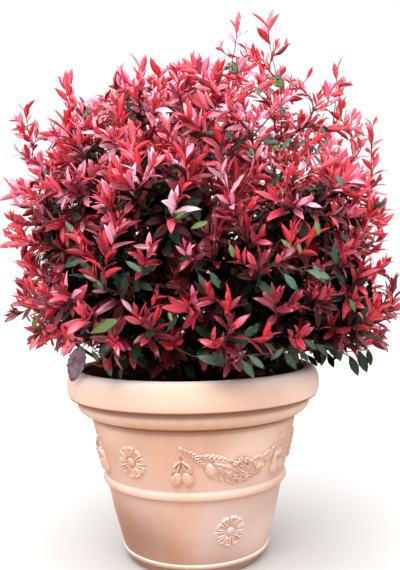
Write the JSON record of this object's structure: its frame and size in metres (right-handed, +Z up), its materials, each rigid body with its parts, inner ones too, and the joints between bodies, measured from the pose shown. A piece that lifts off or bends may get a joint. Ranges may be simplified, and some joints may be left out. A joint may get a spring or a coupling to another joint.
{
  "type": "potted photinia shrub",
  "caption": "Bushy red-leaved photinia in a large round terracotta planter with a rolled rim and garland ornament.",
  "frame": {"origin": "centre of the planter's flat underside", "axes": "+Z up; -Y is the side that carries the full garland and rosette; +X is to the right seen from there"},
  "size_m": [1.2478, 1.1193, 1.749],
  "materials": {
    "terracotta": "matt unglazed, weathered pale at the rim",
    "soil": "dark damp compost",
    "bark": "rough reddish-brown bark",
    "foliage": "glossy leaves, scarlet and wine red over dark green"
  },
  "bodies": {
    "root": {"back_leader": "foliage", "crown_top": "foliage", "far_left_shoot": "foliage", "garland_0": "terracotta", "garland_1": "terracotta", "garland_2": "terracotta", "left_leader": "foliage", "low_bough_0": "bark", "low_bough_2": "bark", "low_bough_4": "bark", "low_left_bough": "bark", "low_left_spray": "foliage", "low_mass_0": "foliage", "low_mass_1": "foliage", "low_mass_2": "foliage", "low_mass_3": "foliage", "low_mass_4": "foliage", "low_mass_5": "foliage", "low_right_bough": "bark", "low_right_spray": "foliage", "lower_rosette_0": "terracotta", "lower_rosette_1": "terracotta", "lower_rosette_2": "terracotta", "main_stem": "bark", "middle_bough_0": "bark", "middle_bough_2": "bark", "middle_bough_5": "bark", "middle_left_shoot": "foliage", "middle_mass_0": "foliage", "middle_mass_1": "foliage", "middle_mass_2": "foliage", "middle_mass_3": "foliage", "middle_mass_4": "foliage", "middle_mass_5": "foliage", "middle_mass_6": "foliage", "pendant_left_0": "terracotta", "pendant_left_1": "terracotta", "pendant_left_2": "terracotta", "pendant_right_0": "terracotta", "pendant_right_1": "terracotta", "pendant_right_2": "terracotta", "pot": "terracotta", "right_edge_shoot": "foliage", "right_leader": "foliage", "second_leader": "foliage", "soil": "soil", "top_leader": "foliage", "upper_bough_1": "bark", "upper_bough_3": "bark", "upper_bough_5": "bark", "upper_mass_0": "foliage", "upper_mass_1": "foliage", "upper_mass_2": "foliage", "upper_mass_3": "foliage", "upper_mass_4": "foliage", "upper_mass_5": "foliage", "upper_rosette_0": "terracotta", "upper_rosette_1": "terracotta", "upper_rosette_2": "terracotta"}
  },
  "joints": []
}
